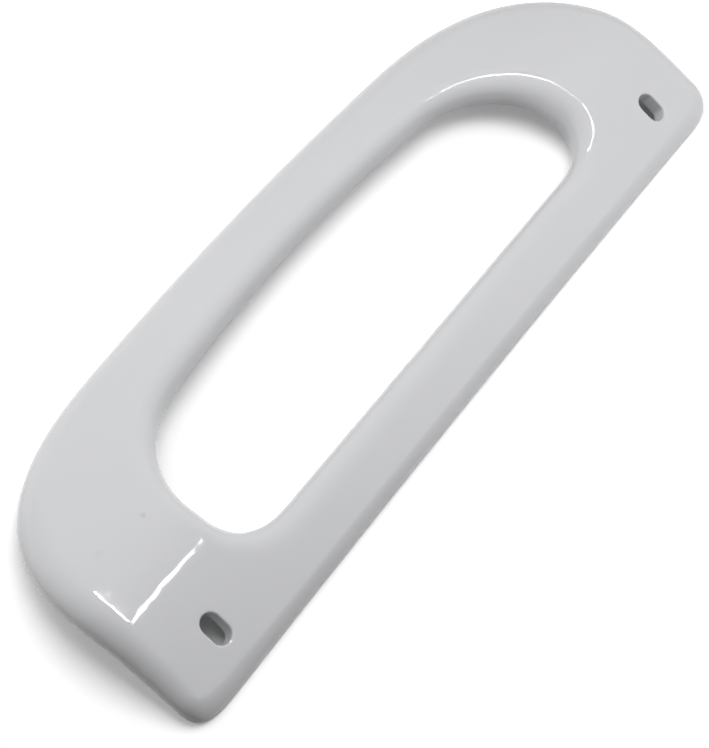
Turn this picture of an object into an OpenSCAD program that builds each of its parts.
// Fridge door handle: one moulded piece, a bow for the hand and a flange for two screws.
// Millimetres, +Z up. It lies on its back: both ends of the screw edge and the middle of
// the bow touch z = 0. X runs along the handle, the screw edge is at -Y and the bow at +Y.

/* [Overall] */
// Length of the handle
handle_l = 203.2; // [180:0.2:260]
// Width from the screw edge to the middle of the bow
handle_w = 70.4; // [66:0.2:90]
// How far the screw edge is hollow in its middle
edge_hollow = 0.7; // [0:0.1:2]

/* [Outer outline] */
// Length of the corner between the screw edge and the end
corner_l = 10.4; // [6:0.2:20]
// Width of that corner
corner_w = 6.8; // [5:0.2:12]
// How square that corner is
corner_square = 0.78; // [0.4:0.02:0.9]
// Where the straight end stops and the shoulder starts, from the screw edge
end_w = 26.6; // [20:0.2:32]
// Where the shoulder meets the crown of the bow, from the middle of the handle
crown_x = 54.8; // [40:0.2:65]
// How much the crown has dropped there
crown_drop = 1.8; // [0.5:0.1:4]
// Fullness of the shoulder at the end and at the crown
shoulder_full = 0.64; // [0.4:0.02:0.8]

/* [Finger opening] */
// Length of the opening
opening_l = 135; // [110:0.2:150]
// Width of the opening at its middle
opening_w = 37.5; // [30:0.1:42]
// From the screw edge to the straight side of the opening
opening_from = 15.5; // [13:0.1:22]
// Length of the corner at the straight side
opening_corner_l = 13.8; // [8:0.2:20]
// Width of that corner
opening_corner_w = 9.9; // [6:0.1:14]
// How square that corner is
opening_square = 0.62; // [0.4:0.02:0.9]
// Straight part of the opening's end
opening_end = 2.7; // [1:0.1:6]
// Where the opening's shoulder meets its crown, from the middle of the handle
opening_crown_x = 45.7; // [30:0.1:52]
// How much the opening's crown has dropped there
opening_crown_drop = 2.7; // [0.5:0.1:5]
// Fullness of the opening's shoulder at its end
opening_full_end = 0.46; // [0.3:0.02:0.8]
// Fullness of the opening's shoulder at its crown
opening_full_crown = 0.6; // [0.3:0.02:0.8]

/* [Section] */
// Thickness of the moulded skin
wall = 2.2; // [1.5:0.1:2.6]
// Slope of the flange, degrees
flange_slope = 29; // [20:0.5:32]
// From the screw edge to the ridge between the flange and the bow
ridge_from = 25.4; // [22:0.2:30]
// Softness of the ridge
ridge_soft = 10; // [4:0.5:14]
// Depth of the rolled edge at the flange
edge_depth = 4.5; // [4.2:0.1:7]
// Depth of the rolled edge at the bow
bow_depth = 8.4; // [6:0.1:12]
// Depth of the opening's edge at the flange
opening_depth_flange = 8.9; // [6:0.1:10]
// Depth of the opening's edge at the bow
opening_depth_bow = 6.6; // [5:0.1:9]
// Width of the rolled edge in the middle of the screw edge
edge_roll = 2; // [1.5:0.1:5]
// Width of the rolled edge at the screw edge's corners
corner_roll = 3.4; // [1.5:0.1:3.8]
// Width of the rolled edge on the two ends
end_roll = 4.9; // [2.5:0.1:6]
// Width of the rolled edge at the bow
bow_roll = 7.4; // [5:0.1:9]
// Width of the opening's rolled edge on its straight side
opening_roll_flange = 7.7; // [5:0.1:8]
// Width of the opening's rolled edge past its corners
opening_roll_bow = 5; // [3.5:0.1:7]

/* [Screw slots] */
// Distance between the two slots
slot_spacing = 170; // [150:1:180]
// From the screw edge to the middle of a slot
slot_from = 9.3; // [8:0.1:11]
// Length of a slot, across the handle
slot_l = 7.5; // [5:0.1:9]
// Width of a slot, for an M4 screw
slot_w = 4.7; // [4:0.1:6]
// Skin left round a slot's pad
pad_wall = 2; // [1.5:0.1:3]

/* [Ribs] */
// Ribs across the hollow of the bow
bow_ribs = 5; // [1:2:9]
// Thickness of a rib
rib_t = 1.6; // [1:0.1:2.4]
// How far a rib stops short of the rim
rib_short = 1.5; // [0.5:0.1:3]

/* [Hidden] */

$fn = 48;
edge_steps = 10;     // stations along half of a straight side
corner_steps = 8;    // stations round a lower corner
end_steps = 5;       // stations up an end
shoulder_steps = 14; // stations round a shoulder
crown_steps = 7;     // stations along half of the crown
roll_steps = 5;      // steps round a rolled edge
top_steps = 4;       // steps across the top between the rolls
rim_wall = 0.2;      // upright share of an edge's depth, below its roll
roll_swell = 6;      // power by which the screw edge's roll widens towards its corners
roll_rise = 10;      // from the screw edge up an end, to where its roll has its full width
rib_gap = 5;         // stations from one rib to the next
clear = 1;           // how far a cut runs past the faces it goes through

end_x = handle_l / 2;
edge_y = -handle_w / 2;
crest_y = handle_w / 2;
ridge_y = edge_y + ridge_from;
slot_y = edge_y + slot_from;
straight_y = edge_y + opening_from;
opening_top_y = straight_y + opening_w;

function mix(a, b, t) = a + (b - a) * t;
function ease(t) = t <= 0 ? 0 : t >= 1 ? 1 : t * t * (3 - 2 * t);
function curve(a, b, c, d, t) =
    a * pow(1 - t, 3) + 3 * b * t * pow(1 - t, 2) + 3 * c * t * t * (1 - t) + d * pow(t, 3);

// Half an outline, from the middle of the -Y side round the +X end to the middle of the bow.
// corner is [length, width, squareness]; crown is [x, drop]; full is [at the end, at the crown].
function half_outline(x_end, y_low, hollow, corner, y_end, y_top, crown, full) =
    let (x_c = x_end - corner[0], y_c = y_low + corner[1], y_s = y_top - crown[1],
         fall = 2 * crown[1] / crown[0], reach = full[1] * (x_end - crown[0]))
    concat(
        [for (i = [0:edge_steps - 1]) let (t = i / edge_steps) [x_c * t, y_low + hollow * (1 - t * t)]],
        [for (i = [0:corner_steps - 1])
            curve([x_c, y_low], [x_c + corner[2] * corner[0], y_low],
                  [x_end, y_c - corner[2] * corner[1]], [x_end, y_c], i / corner_steps)],
        [for (i = [0:end_steps - 1]) [x_end, mix(y_c, y_end, i / end_steps)]],
        [for (i = [0:shoulder_steps - 1])
            curve([x_end, y_end], [x_end, y_end + full[0] * (y_s - y_end)],
                  [crown[0] + reach, y_s - reach * fall], [crown[0], y_s], i / shoulder_steps)],
        [for (i = [0:crown_steps])
            let (t = 1 - i / crown_steps) [crown[0] * t, y_top - crown[1] * t * t]]);

// The whole ring: the half outline and its mirror image.
function ring(half) =
    let (n = len(half))
    concat(half, [for (i = [n - 2:-1:1]) [-half[i][0], half[i][1]]]);

// Unit normals of a ring that runs anticlockwise; they point out of the ring.
function ring_normals(p) =
    let (n = len(p))
    [for (i = [0:n - 1])
        let (d = p[(i + 1) % n] - p[(i + n - 1) % n], l = norm(d)) [d[1] / l, -d[0] / l]];

outer = ring(half_outline(end_x, edge_y, edge_hollow, [corner_l, corner_w, corner_square],
    edge_y + end_w, crest_y, [crown_x, crown_drop], [shoulder_full, shoulder_full]));
inner = ring(half_outline(opening_l / 2, straight_y, 0,
    [opening_corner_l, opening_corner_w, opening_square],
    straight_y + opening_corner_w + opening_end, opening_top_y,
    [opening_crown_x, opening_crown_drop], [opening_full_end, opening_full_crown]));
outer_n = ring_normals(outer);
inner_n = ring_normals(inner);
stations = len(outer);

// The top is a soft roof along X: two slopes joined by a hyperbola at the ridge. The bow's
// slope and the height follow from the edges' depths, because both edges stand on z = 0.
function low_part(y) = let (u = y - ridge_y) (u - sqrt(u * u + ridge_soft * ridge_soft)) / 2;
function high_part(y) = let (u = y - ridge_y) (u + sqrt(u * u + ridge_soft * ridge_soft)) / 2;
flange_rise = tan(flange_slope);
bow_fall = (flange_rise * (low_part(edge_y) - low_part(crest_y)) - edge_depth + bow_depth)
    / (high_part(edge_y) - high_part(crest_y));
roof_h = edge_depth - flange_rise * low_part(edge_y) + bow_fall * high_part(edge_y);
function roof(y) = roof_h + flange_rise * low_part(y) - bow_fall * high_part(y);
function roof_slope(y) =
    let (u = y - ridge_y, k = u / sqrt(u * u + ridge_soft * ridge_soft))
    flange_rise * (1 - k) / 2 - bow_fall * (1 + k) / 2;

// How far a station is from the flange to the bow, 0 to 1, and its depth and roll. The outer
// roll widens from the middle of the screw edge to its corners, up the ends and over the bow.
function outer_share(i) = (outer[i][1] - edge_y) / handle_w;
function inner_share(i) = ease((inner[i][1] - straight_y) / opening_w);
function outer_depth(i) = mix(edge_depth, bow_depth, outer_share(i));
function inner_depth(i) = mix(opening_depth_flange, opening_depth_bow, inner_share(i));
function low_roll(i) = mix(edge_roll, corner_roll, pow(abs(outer[i][0]) / end_x, roll_swell));
function side_roll(i) = mix(low_roll(i), end_roll, ease((outer[i][1] - edge_y) / roll_rise));
function outer_roll(i) = mix(side_roll(i), bow_roll, ease(outer_share(i)));
function inner_roll(i) =
    mix(opening_roll_flange, opening_roll_bow, ease((inner[i][1] - straight_y) / opening_corner_w));

// Points up one edge, from the rim to the end of its roll. skin is how far the surface lies
// inside the outer face, and lift is how far its foot stands above the rim.
function edge_points(p, n, depth, roll, skin, lift) =
    let (foot = roof(p[1]) - depth, r = max(roll - skin, 1), up = rim_wall * depth)
    concat([[p[0] + n[0] * skin, p[1] + n[1] * skin, foot + lift]],
        [for (k = [0:roll_steps])
            let (a = 90 * k / roll_steps, d = skin + r * (1 - cos(a)),
                 x = p[0] + n[0] * d, y = p[1] + n[1] * d,
                 top = roof(y) - skin * sqrt(1 + pow(roof_slope(y), 2)))
            [x, y, foot + up + lift + (top - foot - up - lift) * sin(a)]]);

// Points along the top or the underside from the outer rim over to the inner rim.
function skin_points(i, skin, lift) =
    let (a = edge_points(outer[i], -outer_n[i], outer_depth(i), outer_roll(i), skin, lift),
         b = edge_points(inner[i], inner_n[i], inner_depth(i), inner_roll(i), skin, lift),
         m = len(a) - 1)
    concat(a,
        [for (k = [1:top_steps - 1])
            let (q = mix(a[m], b[m], k / top_steps))
            [q[0], q[1], roof(q[1]) - skin * sqrt(1 + pow(roof_slope(q[1]), 2))]],
        [for (k = [m:-1:0]) b[k]]);

function reversed(p) = [for (i = [len(p) - 1:-1:0]) p[i]];

// The moulded shell: a closed section carried round the opening.
module shell() {
    sections = [for (i = [0:stations - 1])
        concat(skin_points(i, 0, 0), reversed(skin_points(i, wall, 0)))];
    m = len(sections[0]);
    points = [for (s = sections) for (p = s) p];
    faces = [for (i = [0:stations - 1]) for (k = [0:m - 1])
        let (j = (i + 1) % stations, l = (k + 1) % m,
             a = i * m + k, b = j * m + k, c = j * m + l, d = i * m + l)
        each [[a, c, b], [a, d, c]]];
    polyhedron(points, faces);
}

// A rib across the hollow at one station, sunk half a wall into the skin.
module rib(i) {
    side = skin_points(i, wall / 2, rib_short);
    m = len(side);
    d = outer[(i + 1) % stations] - outer[(i + stations - 1) % stations];
    step = [d[0], d[1], 0] * rib_t / norm(d) / 2;
    polyhedron(
        concat([for (p = side) p - step], [for (p = side) p + step]),
        concat(
            [for (k = [0:m - 1]) let (l = (k + 1) % m) each [[k, m + l, m + k], [k, l, m + l]]],
            [for (k = [1:m - 2]) each [[0, k + 1, k], [m, m + k, m + k + 1]]]));
}

// A shape round one screw slot: radius r about the slot's two centres, from z = low to high.
module slot_shape(r, low, high) {
    half_run = (slot_l - slot_w) / 2;
    for (y = [-half_run, half_run])
        translate([0, y, low]) cylinder(r = r, h = high - low);
    translate([-r, -half_run, low]) cube([2 * r, 2 * half_run, high - low]);
}

slot_tilt = atan(roof_slope(slot_y));
// Square to the flange, from its face down to the plane of its back
flange_t = roof(slot_y) * cos(slot_tilt) - slot_from * sin(slot_tilt);

module at_slots() {
    for (x = [-slot_spacing / 2, slot_spacing / 2])
        translate([x, slot_y, roof(slot_y)]) rotate([slot_tilt, 0, 0]) children();
}

crest_station = edge_steps + corner_steps + end_steps + shoulder_steps + crown_steps;

module handle() {
    color("whitesmoke")
    difference() {
        union() {
            shell();
            at_slots() slot_shape(slot_w / 2 + pad_wall, -flange_t, -wall / 2);
            for (k = [-(bow_ribs - 1) / 2:(bow_ribs - 1) / 2]) rib(crest_station + k * rib_gap);
        }
        at_slots() slot_shape(slot_w / 2, -flange_t - clear, clear);
    }
}

handle();
